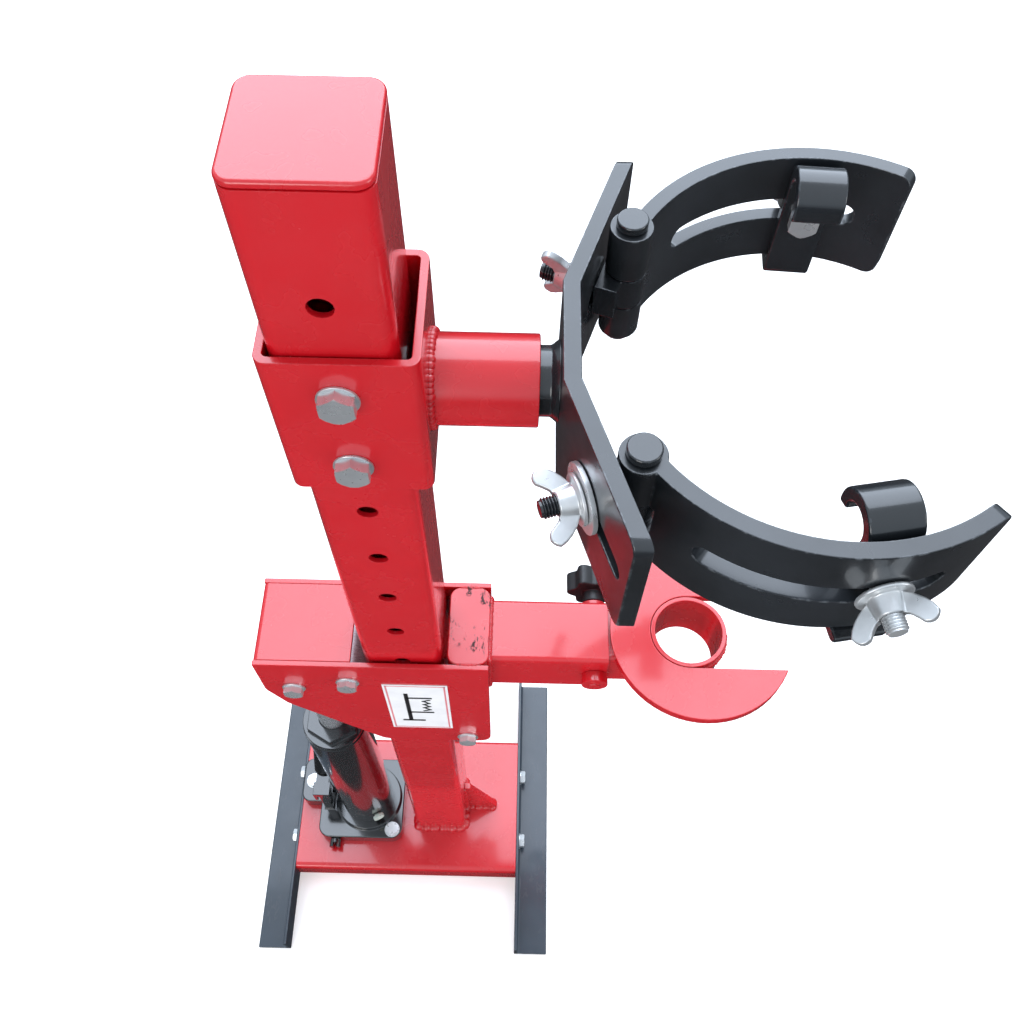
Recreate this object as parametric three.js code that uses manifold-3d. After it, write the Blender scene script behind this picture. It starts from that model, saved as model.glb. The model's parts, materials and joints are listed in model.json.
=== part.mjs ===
// Floor-standing hydraulic strut spring compressor, in millimetres, +Z up.
// Sizes are measured from the floor under the column's centre. +X points along the arms, -Y to the front.
import * as THREE from 'three';
import { mergeVertices } from 'three/addons/utils/BufferGeometryUtils.js';
import Module from 'manifold-3d';

const wasm = await Module();
wasm.setup();

// ---- driving dimensions -------------------------------------------------------------------------
// general clearances
const weldGap = 0.3;          // between a welded piece and a curved or turned neighbour
const runningGap = 0.5;       // between faces that slide on each other
const boltPlay = 1;           // hole diameter over bolt diameter
const runFit = 0.2;           // hole diameter over shaft diameter where one turns in the other

// base channel and feet
const baseTop = 42;           // height of the base plate's top face
const baseBehindJack = 99;    // base plate beyond the jack's axis
const baseBeyondColumn = 73;
const baseHalfWidth = 94;
const baseWall = 5;
const baseBend = 8;           // outer bend radius of the lips
const lipGround = 4;          // lips stop this far above the floor
const endTabWidth = 160;
const footLength = 390;
const footFlange = 45;
const footWall = 4;
const footBoltSpacing = 92;
const footBolt = 10;

// column
const columnSize = 70;
const columnWall = 4;
const columnCorner = 9;
const columnHeight = 1185;
const capThickness = 5;
const holePitch = 66;
const firstHoleDrop = 78;     // first hole below the cap's top face
const holeCount = 8;
const columnHolePlay = 2;     // column hole over sleeve bolt
const gussetWidth = 44;
const gussetHeight = 100;
const gussetThickness = 8;

// upper sleeve, boss and yoke shaft
const sleeveHeight = 122;
const sleeveWall = 5;
const sleevePlay = 1;
const sleeveSideGap = 6.5;    // room for the shaft's flange beside the column
const sleeveCorner = 7;
const sleeveDrop = 114;       // sleeve's top edge below the cap's top face
const sleeveBoltHole = 1;     // number of the column hole that the upper sleeve bolt uses
const sleeveBolt = 12;
const bossWall = 6.4;
const bossLength = 62.5;
const bossDrop = 63;          // boss axis below the sleeve's top edge
const shaftDiameter = 42;
const shaftFlangeRim = 6;     // flange's reach beyond the shaft
const shaftFlangeThickness = 4.5;
const shaftNeck = 11.5;       // bare shaft between the boss and the yoke bar

// yoke bar
const yokeThickness = 10;
const yokeHeight = 96;
const yokeHalfMiddle = 35;    // half the straight middle, along Y
const wingLength = 109;
const wingAngle = 18.5;       // degrees
const wingCorner = 8;
const wingSlotWidth = 13.5;
const wingSlotStart = 24;     // from the bend to the slot's ends
const wingSlotEnd = 94;
const studPlace = 46;         // stud along the wing, from the bend

// hinge between yoke and arm
const pinReach = 14.5;        // pin axis beyond the wing's inner face
const pinOffset = 9;          // pin axis past the stud, along the wing
const pinDiameter = 14;
const knuckleWall = 6;
const hingeRise = 46;         // hinge's top above the shaft's axis
const lugHeight = 24;
const knuckleGap = 0.6;
const lowerKnuckleHeight = 28;
const studDiameter = 12;

// curved arms
const armRadius = 125;        // outer radius
const armRootAngle = 150.3;   // where the hinge pin stands, degrees from +X round the arc's centre
const pinDepth = 2.1;         // pin's axis inside the outer radius
const armThickness = 10;
const armHeight = 82;
const armEnd = 54;            // degrees, measured at the arc centre from +X
const armSwing = { rear: 3.5, front: 3.5 };   // degrees that each arm stands turned about its pin
const armSlotWidth = 16;
const armSlotFrom = 67;       // the slot's two ends
const armSlotTo = 130;
const jawAngle = 83;

// hook jaws
const jawWidth = 30;
const jawThickness = 8;
const hookInner = 10;
const hookRise = 5;           // hook's top above the arm's top edge
const hookWrap = 200;         // degrees of hook
const lipReach = 17;          // the jaw's lower lip, outwards under the arm
const lipPlay = 2;            // between the lip and the arm's lower edge
const jawBolt = 12;

// wing nuts and washers
const wingNutSpan = 46;
const wingNutHub = 20;
const wingNutFlange = 31;
const pivotNutTurn = { rear: -15, front: -75 };   // degrees that the wings stand from upright
const washerDiameter = 42;
const washerThickness = 3;

// carriage
const carriageTop = 694;
const carriageDepth = 205;    // height of the side plates
const plateBehindJack = 28;   // side plates beyond the jack's axis
const plateBeyondColumn = 41;
const platePlay = 2.5;        // between the column and each side plate
const plateThickness = 5;
const coverGap = 11;          // between the cover and the column
const coverThickness = 4;
const coverDrop = 70;
const endBlockHeight = 72;
const endBlockWall = 5;
const endBlockCorner = 10;
const columnPlay = 4;         // between the column and the end block
const rollerDiameter = 34;
const rollerPlay = 0.4;
const rollerBolt = 10;
const upperRollerDrop = 37;
const lowerRollerDrop = 190;
const pinDrop = 54;
const jackToColumn = 69;      // jack's axis to the column's face
const labelWidth = 60;
const labelHeight = 122;
const labelThickness = 0.8;
const labelDrop = 40;

// lower arm
const armTubeSize = 60;
const armTubeWall = 4;
const saddleEndGap = 1;       // between the arm tube's end and the saddle plate
const armTubeDrop = 7;        // tube's top below the carriage's top
const tubeCorner = 5;
const extensionPlay = 0.6;
const extensionWall = 4;
const extensionInside = 96;   // length of extension inside the arm tube
const saddleRadius = 82;
const saddleBack = 2;         // saddle plate's centre behind the arms' arc centre
const saddleThickness = 10;
const ringOuter = 68;
const ringWall = 4;
const ringHeight = 60;
const ringBack = 13.5;        // ring's axis behind the arms' arc centre
const lockFromEnd = 11;
const lockNutAcross = 24;
const lockNutHeight = 10;
const screwSize = 10;
const knobDiameter = 50;
const knobThickness = 20;
const knobNeck = 12;

// jack
const jackBaseHeight = 24;
const jackBaseBehind = 68;    // base block on either side of the jack's axis
const jackBaseAhead = 50;
const jackBaseHalfWidth = 56;
const jackFlange = 92;
const jackFlangeHeight = 8;
const reservoirOuter = 72;
const reservoirWall = 4;
const reservoirTop = 412;
const cylinderOuter = 46;
const cylinderWall = 4.5;
const glandHeight = 18;
const ramDiameter = 30;
const ramBottom = 262;
const ramPistonHeight = 20;
const ramHeadSize = 40;
const ramHeadWidth = 66;
const pumpFromJack = [-55, 24];
const pumpOuter = 28;
const pumpHeight = 56;
const plungerDiameter = 13;
const plungerDomeRadius = 7.5;
const fulcrumReach = 34;      // from the plunger to the lever's fulcrum, along Y
const fulcrumPin = 6;
const socketOuter = 26;
const socketLength = 84;
const socketRise = 52;        // degrees above level

// ---- worked-out sizes ---------------------------------------------------------------------------
const columnTop = baseTop + columnHeight + capThickness;
const half = columnSize / 2;
const columnHole = sleeveBolt + columnHolePlay;
const jackX = -half - jackToColumn;
const baseLeft = jackX - baseBehindJack;
const baseRight = half + baseBeyondColumn;
const plateLeft = jackX - plateBehindJack;
const plateRight = half + plateBeyondColumn;
const plateGap = columnSize + 2 * platePlay;
const coverRight = -half - coverGap;
const sleeveTop = columnTop - sleeveDrop;
const sleeveInnerRight = half + sleeveSideGap;
const sleeveRight = sleeveInnerRight + sleeveWall;
const sleeveLeft = -half - sleevePlay - sleeveWall;
const sleeveHalfWidth = half + sleevePlay + sleeveWall;
const shaftZ = sleeveTop - bossDrop;
const hingeTop = shaftZ + hingeRise;
const bossEnd = sleeveRight + bossLength;
const bossOuter = shaftDiameter + runFit + 2 * bossWall;
const shaftFlange = shaftDiameter + 2 * shaftFlangeRim;
const yokeX = bossEnd + shaftNeck;
const knuckleOuter = pinDiameter + 2 * knuckleWall;
const plateFace = plateGap / 2 + plateThickness;
const armZ = hingeTop - armHeight / 2;
const tubeZ = carriageTop - armTubeDrop - armTubeSize / 2;
const extensionSize = armTubeSize - 2 * armTubeWall - 2 * extensionPlay;
const rollerX = half + rollerPlay + rollerDiameter / 2;
const deg = Math.PI / 180;

// A wing's own frame: X along the wing away from the bend, Y out of its outer face, Z up.
const wingDirection = new THREE.Vector2(Math.sin(wingAngle * deg), Math.cos(wingAngle * deg));
const wingInward = new THREE.Vector2(wingDirection.y, -wingDirection.x);

function onWing(alongWing, inward) {
  return new THREE.Vector2(yokeX, yokeHalfMiddle)
    .addScaledVector(wingDirection, alongWing)
    .addScaledVector(wingInward, inward);
}

const stud = onWing(studPlace, 0);
const pin = onWing(studPlace + pinOffset, yokeThickness + pinReach);
// Centre of the arm's arc, mirrored for the front arm.
const armTurnCentre = [
  pin.x - (armRadius - pinDepth) * Math.cos(armRootAngle * deg),
  pin.y - (armRadius - pinDepth) * Math.sin(armRootAngle * deg),
];
const saddleX = armTurnCentre[0] - saddleBack;
const ringX = armTurnCentre[0] - ringBack;
const armTubeEnd = saddleX - saddleRadius - saddleEndGap;
const lockX = armTubeEnd - lockFromEnd;

// ---- solids -------------------------------------------------------------------------------------
// A closed geometry with its shared vertices merged and flat triangles dropped.
function tidy(geometry) {
  const bare = geometry.clone();
  bare.deleteAttribute('normal');
  bare.deleteAttribute('uv');
  const merged = mergeVertices(bare, 1e-4);
  const index = merged.index.array;
  const kept = [];
  for (let i = 0; i < index.length; i += 3) {
    const [a, b, c] = [index[i], index[i + 1], index[i + 2]];
    if (a !== b && b !== c && c !== a) kept.push(a, b, c);
  }
  merged.setIndex(kept);
  return merged;
}

function toSolid(geometry) {
  const closed = tidy(geometry);
  return new wasm.Manifold(new wasm.Mesh({
    numProp: 3,
    vertProperties: new Float32Array(closed.attributes.position.array),
    triVerts: new Uint32Array(closed.index.array),
  }));
}

function toGeometry(solid) {
  const mesh = solid.getMesh();
  const geometry = new THREE.BufferGeometry();
  geometry.setAttribute('position', new THREE.BufferAttribute(new Float32Array(mesh.vertProperties), 3));
  geometry.setIndex(new THREE.BufferAttribute(new Uint32Array(mesh.triVerts), 1));
  geometry.computeVertexNormals();
  return geometry;
}

function cut(geometry, ...tools) {
  let solid = toSolid(geometry);
  for (const tool of tools) solid = solid.subtract(toSolid(tool));
  return toGeometry(solid);
}

function join(geometry, ...others) {
  let solid = toSolid(geometry);
  for (const other of others) solid = solid.add(toSolid(other));
  return toGeometry(solid);
}

function overlap(geometry, other) {
  return toGeometry(toSolid(geometry).intersect(toSolid(other)));
}

// ---- shapes -------------------------------------------------------------------------------------
function box(x0, x1, y0, y1, z0, z1) {
  return new THREE.BoxGeometry(x1 - x0, y1 - y0, z1 - z0)
    .translate((x0 + x1) / 2, (y0 + y1) / 2, (z0 + z1) / 2);
}

// Turns a geometry made along +Z so that it runs along the named axis.
function along(axis, geometry) {
  if (axis === 'x') geometry.rotateY(Math.PI / 2);
  if (axis === 'y') geometry.rotateX(-Math.PI / 2);
  return geometry;
}

// A round bar along an axis, from a to b on that axis; (u, v) is its centre in the other two.
function rod(axis, diameter, a, b, u, v, sides = 24) {
  const bar = new THREE.CylinderGeometry(diameter / 2, diameter / 2, b - a, sides);
  bar.rotateX(Math.PI / 2).translate(0, 0, (a + b) / 2);
  return place(axis, along(axis, bar), u, v);
}

function hexBar(axis, across, a, b, u, v) {
  return rod(axis, across / Math.cos(Math.PI / 6), a, b, u, v, 6);
}

function place(axis, geometry, u, v) {
  if (axis === 'x') return geometry.translate(0, u, v);
  if (axis === 'y') return geometry.translate(u, 0, v);
  return geometry.translate(u, v, 0);
}

function tube(axis, outer, inner, a, b, u, v, sides = 32) {
  return cut(rod(axis, outer, a, b, u, v, sides), rod(axis, inner, a - 1, b + 1, u, v, sides));
}

// A rounded rectangle centred on (0, 0) or on a given point.
function roundedRect(width, height, corner, x = 0, y = 0) {
  const r = Math.min(corner, width / 2 - 0.01, height / 2 - 0.01);
  const [w, h] = [width / 2, height / 2];
  const shape = new THREE.Shape();
  shape.absarc(x + w - r, y - h + r, r, -Math.PI / 2, 0);
  shape.absarc(x + w - r, y + h - r, r, 0, Math.PI / 2);
  shape.absarc(x - w + r, y + h - r, r, Math.PI / 2, Math.PI);
  shape.absarc(x - w + r, y - h + r, r, Math.PI, Math.PI * 1.5);
  shape.closePath();
  return shape;
}

// A closed outline with a radius at each corner: points are [x, y, radius].
function roundedOutline(points) {
  const shape = new THREE.Shape();
  points.forEach(([x, y, r = 0], i) => {
    const before = points[(i + points.length - 1) % points.length];
    const after = points[(i + 1) % points.length];
    const here = new THREE.Vector2(x, y);
    const back = new THREE.Vector2(before[0], before[1]).sub(here).normalize();
    const on = new THREE.Vector2(after[0], after[1]).sub(here).normalize();
    if (r === 0) {
      if (i === 0) shape.moveTo(x, y); else shape.lineTo(x, y);
      return;
    }
    const reach = r / Math.tan(back.angleTo(on) / 2);
    const start = here.clone().addScaledVector(back, reach);
    const end = here.clone().addScaledVector(on, reach);
    if (i === 0) shape.moveTo(start.x, start.y); else shape.lineTo(start.x, start.y);
    shape.quadraticCurveTo(x, y, end.x, end.y);
  });
  shape.closePath();
  return shape;
}

function extrude(shape, depth, curveSegments = 6) {
  return new THREE.ExtrudeGeometry(shape, { depth, bevelEnabled: false, curveSegments });
}

// An outline drawn in X and Z, given a thickness along Y from y0 to y1.
function plateXZ(shape, y0, y1, curveSegments = 6) {
  return extrude(shape, y1 - y0, curveSegments).rotateX(Math.PI / 2).translate(0, y1, 0);
}

// An outline drawn in X and Y, given a height from z0 to z1.
function plateXY(shape, z0, z1, curveSegments = 6) {
  return extrude(shape, z1 - z0, curveSegments).translate(0, 0, z0);
}

// An outline drawn in Y and Z, given a length along X from x0 to x1.
function plateYZ(shape, x0, x1, curveSegments = 6) {
  return extrude(shape, x1 - x0, curveSegments).rotateX(Math.PI / 2).rotateZ(Math.PI / 2)
    .translate(x0, 0, 0);
}

// A ring-shaped stretch of flat bar on edge, between two angles about (0, 0).
function arcBar(outer, inner, from, to, z0, z1) {
  const shape = new THREE.Shape();
  shape.absarc(0, 0, outer, from * deg, to * deg, false);
  shape.absarc(0, 0, inner, to * deg, from * deg, true);
  shape.closePath();
  return plateXY(shape, z0, z1, 28);
}

function slotShape(length, width, x = 0, y = 0) {
  return roundedRect(length, width, width / 2, x, y);
}

// ---- materials ----------------------------------------------------------------------------------
const finishes = {
  red: { color: 0xc4161c, roughness: 0.3, metalness: 0.1 },
  black: { color: 0x15171a, roughness: 0.28, metalness: 0.2 },
  slate: { color: 0x3a4450, roughness: 0.35, metalness: 0.3 },
  zinc: { color: 0xc9ccd0, roughness: 0.35, metalness: 0.9 },
  steel: { color: 0x9a9d9f, roughness: 0.3, metalness: 0.9 },
  plastic: { color: 0x17181a, roughness: 0.5, metalness: 0 },
  label: { color: 0xe9e6e4, roughness: 0.5, metalness: 0 },
};

const compressor = new THREE.Group();

function part(name, finish, geometry, group = compressor) {
  const mesh = new THREE.Mesh(geometry, new THREE.MeshStandardMaterial(finishes[finish]));
  mesh.name = name;
  group.add(mesh);
  return mesh;
}

// ---- fasteners ----------------------------------------------------------------------------------
// A through bolt along an axis with its head before a, its nut after b and a washer under each.
function throughBolt(axis, size, a, b, u, v, sides = 12) {
  const across = size * 1.6 + 0.6;
  const washer = 1.6;
  const head = size * 0.62;
  const nut = size * 0.8;
  return join(
    rod(axis, size, a - head / 2, b + nut + washer + 3, u, v, sides),
    hexBar(axis, across, a - washer - head, a - washer, u, v),
    rod(axis, across + 5, a - washer, a, u, v, 18),
    rod(axis, across + 5, b, b + washer, u, v, 18),
    hexBar(axis, across, b + washer, b + washer + nut, u, v),
  );
}

// A wing nut whose seat is at z = 0 and whose wings rise along +Z, with its thread as a through hole.
function wingNut(bore) {
  const wing = new THREE.Shape();
  const tip = wingNutSpan / 2;
  wing.moveTo(-4, 1);
  wing.lineTo(6, 1);
  wing.quadraticCurveTo(tip - 4, 6, tip, 17);
  wing.quadraticCurveTo(tip - 3, 24, tip - 9, 21);
  wing.quadraticCurveTo(8, 12, 4, 12);
  wing.lineTo(-4, 12);
  wing.closePath();
  const right = plateXZ(wing, -2.5, 2.5, 5);
  const left = right.clone().rotateZ(Math.PI);
  const hub = new THREE.CylinderGeometry(wingNutHub * 0.38, wingNutHub / 2, 13, 20)
    .rotateX(Math.PI / 2).translate(0, 0, 6.5);
  const flange = rod('z', wingNutFlange, 0, 2.4, 0, 0, 28);
  return cut(join(hub, flange, right, left), rod('z', bore + runFit, -1, 14, 0, 0, 24));
}

// ---- base and feet ------------------------------------------------------------------------------
const footInnerLeft = baseLeft;
const footInnerRight = baseRight;
const footBoltZ = baseTop / 2;
const footBoltYs = [-footBoltSpacing / 2, footBoltSpacing / 2];
const jackBoltPlaces = { jack_bolt_front: [jackX + 36, -44], jack_bolt_rear: [jackX - 82, 22] };
const jackBolt = 10;

function makeBaseChannel() {
  const w = baseHalfWidth;
  const section = roundedOutline([
    [-w, lipGround], [-w + baseWall, lipGround], [-w + baseWall, baseTop - baseWall, baseBend - baseWall],
    [w - baseWall, baseTop - baseWall, baseBend - baseWall], [w - baseWall, lipGround], [w, lipGround],
    [w, baseTop, baseBend], [-w, baseTop, baseBend],
  ]);
  const channel = plateYZ(section, baseLeft, baseRight);
  const tabs = [baseLeft, baseRight - baseWall].map((x) =>
    box(x, x + baseWall, -endTabWidth / 2, endTabWidth / 2, lipGround, baseTop - baseWall / 2));
  const bore = footBolt + boltPlay;
  const holes = footBoltYs.map((y) => rod('x', bore, baseLeft - 1, baseRight + 1, y, footBoltZ, 16));
  const jackHoles = Object.values(jackBoltPlaces).map(([x, y]) =>
    rod('z', jackBolt + boltPlay, 0, baseTop + 1, x, y, 16));
  return cut(join(channel, ...tabs), ...holes, ...jackHoles);
}

// An angle iron along Y with its upright leg at x = 0 and its flange on the floor towards +X.
function makeFoot() {
  const section = roundedOutline([
    [0, 0, 1.5], [footFlange, 0], [footFlange, footWall, 1.5], [footWall, footWall, 4],
    [footWall, baseTop, 1.5], [0, baseTop],
  ]);
  const bar = plateXZ(section, -footLength / 2, footLength / 2, 4);
  const holes = footBoltYs.map((y) => rod('x', footBolt + boltPlay, -1, footWall + 1, y, footBoltZ, 16));
  return cut(bar, ...holes);
}

part('base_channel', 'red', makeBaseChannel());
const rightFoot = part('right_foot', 'slate', makeFoot());
rightFoot.position.x = footInnerRight;
const leftFoot = part('left_foot', 'slate', makeFoot());
leftFoot.position.x = footInnerLeft;
leftFoot.rotation.z = Math.PI;

['left', 'right'].forEach((side) => {
  footBoltYs.forEach((y, i) => {
    const geometry = throughBolt('x', footBolt, -footWall, baseWall, 0, 0);
    const bolt = part(`foot_bolt_${side}_${i ? 'rear' : 'front'}`, 'zinc', geometry);
    bolt.position.set(side === 'left' ? baseLeft : baseRight, y, footBoltZ);
    if (side === 'right') bolt.rotation.z = Math.PI;
  });
});

// ---- column -------------------------------------------------------------------------------------
const holeZs = Array.from({ length: holeCount }, (_, i) => columnTop - firstHoleDrop - i * holePitch);

function makeColumn() {
  const section = roundedRect(columnSize, columnSize, columnCorner);
  const inner = columnSize - 2 * columnWall;
  section.holes.push(roundedRect(inner, inner, columnCorner - columnWall));
  const shell = plateXY(section, baseTop, baseTop + columnHeight);
  const holes = holeZs.map((z) => rod('y', columnHole, -half - 1, half + 1, 0, z, 16));
  return cut(shell, ...holes);
}

function makeGusset() {
  const outline = roundedOutline([
    [half, baseTop], [half + gussetWidth, baseTop], [half + gussetWidth, baseTop + 8],
    [half + 8, baseTop + gussetHeight], [half, baseTop + gussetHeight],
  ]);
  return plateXZ(outline, -gussetThickness / 2, gussetThickness / 2);
}

part('column', 'red', makeColumn());
const capOutline = roundedRect(columnSize, columnSize, columnCorner);
part('column_cap', 'red', plateXY(capOutline, columnTop - capThickness, columnTop));
part('column_gusset', 'red', makeGusset());

// ---- upper sleeve, boss and yoke shaft ----------------------------------------------------------
function makeSleeve() {
  const width = sleeveRight - sleeveLeft;
  const middle = (sleeveRight + sleeveLeft) / 2;
  const section = roundedRect(width, 2 * sleeveHalfWidth, sleeveCorner, middle);
  section.holes.push(roundedRect(width - 2 * sleeveWall, 2 * (sleeveHalfWidth - sleeveWall),
    sleeveCorner - sleeveWall + 0.5, middle));
  const shell = plateXY(section, sleeveTop - sleeveHeight, sleeveTop);
  const boltHoles = sleeveBoltZs.map((z) =>
    rod('y', sleeveBolt + boltPlay, -sleeveHalfWidth - 1, sleeveHalfWidth + 1, 0, z, 20));
  const shaftHole = rod('x', shaftDiameter + runFit, half, sleeveRight + 1, 0, shaftZ, 48);
  return cut(shell, ...boltHoles, shaftHole);
}

// The flange, the shaft and the flared neck that is welded to the yoke bar.
function makeYokeShaft() {
  const start = half + (sleeveSideGap - shaftFlangeThickness) / 2;
  const r = shaftDiameter / 2;
  const profile = [
    [0, start], [shaftFlange / 2, start], [shaftFlange / 2, start + shaftFlangeThickness],
    [r, start + shaftFlangeThickness], [r, yokeX - 5], [r + 4, yokeX], [0, yokeX],
  ].map(([x, y]) => new THREE.Vector2(x, y));
  return new THREE.LatheGeometry(profile, 48).rotateZ(-Math.PI / 2).translate(0, 0, shaftZ);
}

const sleeveBoltZs = [holeZs[sleeveBoltHole], holeZs[sleeveBoltHole + 1]];
part('upper_sleeve', 'red', makeSleeve());
part('boss_tube', 'red',
  tube('x', bossOuter, shaftDiameter + runFit, sleeveRight, bossEnd, 0, shaftZ, 48));
sleeveBoltZs.forEach((z, i) => {
  const geometry = throughBolt('y', sleeveBolt, -sleeveHalfWidth, sleeveHalfWidth, 0, z);
  part(i ? 'sleeve_bolt_lower' : 'sleeve_bolt_upper', 'zinc', geometry);
});
part('yoke_shaft', 'black', makeYokeShaft());

// ---- yoke bar -----------------------------------------------------------------------------------
function makeYokeBar() {
  const outer = [onWing(wingLength, 0), onWing(0, 0)];
  const innerBend = yokeHalfMiddle - yokeThickness * Math.tan(wingAngle * deg / 2);
  const innerTip = onWing(wingLength, yokeThickness);
  const upper = [[outer[0].x, outer[0].y], [outer[1].x, outer[1].y]];
  const lower = [[yokeX + yokeThickness, innerBend], [innerTip.x, innerTip.y]];
  const mirrored = (points) => points.map(([x, y]) => [x, -y]).reverse();
  const plan = roundedOutline([...upper, ...mirrored(upper), ...mirrored(lower), ...lower]);
  const bar = plateXY(plan, shaftZ - yokeHeight / 2, shaftZ + yokeHeight / 2);
  const reach = innerTip.y;
  const outline = roundedRect(2 * reach + 2, yokeHeight, wingCorner, 0, shaftZ);
  const corners = plateYZ(outline, yokeX - 5, yokeX + 80);
  const slots = [1, -1].map((side) => {
    const slot = slotShape(wingSlotEnd - wingSlotStart, wingSlotWidth, (wingSlotStart + wingSlotEnd) / 2, 0);
    const tool = extrude(slot, yokeThickness + 4, 8).rotateX(Math.PI / 2).translate(0, yokeThickness + 2, 0);
    tool.rotateZ(Math.PI / 2 - wingAngle * deg).translate(yokeX + yokeThickness, yokeHalfMiddle, shaftZ);
    return side === 1 ? tool : mirrorY(tool);
  });
  return cut(overlap(bar, corners), ...slots);
}

// Mirrors a geometry in Y and turns its faces the right way again.
function mirrorY(geometry) {
  const mirrored = tidy(geometry).scale(1, -1, 1);
  const index = mirrored.index.array;
  for (let i = 0; i < index.length; i += 3) [index[i], index[i + 1]] = [index[i + 1], index[i]];
  return mirrored;
}

part('yoke_bar', 'black', makeYokeBar());

// ---- hinged arms, one set for each side ----------------------------------------------------------
const armBottom = hingeTop - armHeight;
const lugBottom = shaftZ - lugHeight / 2;
const lugTop = shaftZ + lugHeight / 2;
const knuckleHole = pinDiameter + runFit;

// Turns a geometry made along +X so that it runs from the stud's place out through the wing.
function studWise(geometry) {
  const angle = Math.atan2(-wingInward.y, -wingInward.x);
  return geometry.rotateZ(angle).translate(stud.x, stud.y, shaftZ);
}

// The lug round the hinge pin, its shank against the wing's inner face and its threaded stud.
function makePivotBlock() {
  const face = -yokeThickness - runningGap;
  const shank = studWise(box(face - pinReach, face, -knuckleOuter / 2, knuckleOuter / 2,
    -lugHeight / 2, lugHeight / 2));
  const lug = rod('z', knuckleOuter, lugBottom, lugTop, pin.x, pin.y, 32);
  const threaded = studWise(rod('x', studDiameter, face - 4, washerThickness + 24, 0, 0, 24));
  return cut(join(lug, shank, threaded), rod('z', knuckleHole, lugBottom - 1, lugTop + 1, pin.x, pin.y, 32));
}

function makeHingePin() {
  const bottom = lugBottom - knuckleGap - lowerKnuckleHeight;
  return join(
    rod('z', pinDiameter, bottom - 3, hingeTop + 2, pin.x, pin.y, 32),
    rod('z', pinDiameter + 5, hingeTop + runningGap, hingeTop + 6, pin.x, pin.y, 24),
    rod('z', pinDiameter + 4, bottom - 6, bottom - runningGap, pin.x, pin.y, 24),
  );
}

// The curved bar with its slot, and the two knuckles that take the hinge pin.
function makeArm() {
  const [cx, cy] = armTurnCentre;
  const root = Math.atan2(pin.y - cy, pin.x - cx) / deg;
  const bar = arcBar(armRadius, armRadius - armThickness, armEnd, root, armBottom, hingeTop)
    .translate(cx, cy, 0);
  const slot = armSlot().map((tool) => tool.translate(cx, cy, 0));
  const upper = rod('z', knuckleOuter, lugTop + knuckleGap, hingeTop, pin.x, pin.y, 32);
  const lower = rod('z', knuckleOuter, lugBottom - knuckleGap - lowerKnuckleHeight, lugBottom - knuckleGap,
    pin.x, pin.y, 32);
  const lugRoom = rod('z', knuckleOuter + 8, lugBottom - knuckleGap, lugTop + knuckleGap, pin.x, pin.y, 32);
  const endRound = armEndRound().translate(cx, cy, 0);
  const hole = rod('z', knuckleHole, armBottom - 20, hingeTop + 1, pin.x, pin.y, 32);
  return cut(join(overlap(bar, endRound), upper, lower), ...slot, lugRoom, hole);
}

// The slot's straight stretch and its two round ends.
function armSlot() {
  const roundEnd = armSlotWidth / 2 / armRadius / deg;
  const [from, to] = [armSlotFrom + roundEnd, armSlotTo - roundEnd];
  const [outer, inner] = [armRadius + 2, armRadius - armThickness - 2];
  const ends = [from, to].map((angle) => (
    rod('x', armSlotWidth, inner, outer, 0, armZ, 20).rotateZ(angle * deg)));
  return [arcBar(outer, inner, from, to, armZ - armSlotWidth / 2, armZ + armSlotWidth / 2), ...ends];
}

// A block that covers the whole arm and rounds the two corners of its free end.
function armEndRound() {
  const reach = armRadius + 30;
  const flat = roundedRect(2 * reach, armHeight, wingCorner, -reach, armZ);
  const tip = armEnd * deg;
  const away = plateXZ(flat, -reach, reach * 3, 5);
  return away.rotateZ(tip - Math.PI / 2).translate(
    (armRadius) * Math.cos(tip), (armRadius) * Math.sin(tip), 0);
}

// A jaw's own frame: X inwards from the arm's inner face, Y along the arm, Z up.
const hookOuter = hookInner + jawThickness;
const hookZ = hingeTop + hookRise - hookOuter;

function makeJaw() {
  const bottom = armBottom - lipPlay;
  const profile = new THREE.Shape();
  const end = (180 - hookWrap) * deg;
  profile.moveTo(0, bottom);
  profile.lineTo(jawThickness, bottom);
  profile.lineTo(jawThickness, hookZ);
  profile.absarc(hookOuter, hookZ, hookInner, Math.PI, end, true);
  profile.absarc(hookOuter, hookZ, hookOuter, end, Math.PI, false);
  profile.closePath();
  const lipTop = armBottom - lipPlay;
  const lip = roundedOutline([
    [jawThickness, lipTop - jawThickness, 6], [jawThickness, lipTop + 1], [0, lipTop + 1], [0, lipTop],
    [-lipReach, lipTop], [-lipReach, lipTop - jawThickness, 6],
  ]);
  const hook = plateXZ(profile, -jawWidth / 2, jawWidth / 2, 10);
  const strip = join(hook, plateXZ(lip, -jawWidth / 2, jawWidth / 2, 4));
  const bore = rod('x', jawBolt + 0.6, -1, jawThickness + 1, 0, armZ, 20);
  return cut(strip, bore);
}

// Hex head inside the jaw, shank out through the arm's slot and the wing nut.
function makeJawBolt() {
  const outside = armThickness + jawSeat + washerThickness + 20;
  return join(
    rod('x', jawBolt, -outside, jawThickness + 1, 0, armZ, 24),
    hexBar('x', 18, jawThickness, jawThickness + 7, 0, armZ),
    );
}

const jawSeat = armRadius - armThickness - Math.sqrt((armRadius - armThickness) ** 2 - (jawWidth / 2) ** 2);

// Puts a jaw-frame geometry on the arm at the jaw's angle.
function onArm(geometry) {
  const [cx, cy] = armTurnCentre;
  const reach = armRadius - armThickness - jawSeat - weldGap;
  return geometry.rotateZ(Math.PI + jawAngle * deg)
    .translate(cx + reach * Math.cos(jawAngle * deg), cy + reach * Math.sin(jawAngle * deg), 0);
}

function jawWingNut() {
  const seat = -(armThickness + jawSeat + weldGap + runningGap);
  const nut = wingNut(jawBolt).rotateZ(Math.PI / 2 - 35 * deg).rotateY(-Math.PI / 2);
  return nut.translate(seat, 0, armZ);
}

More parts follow.
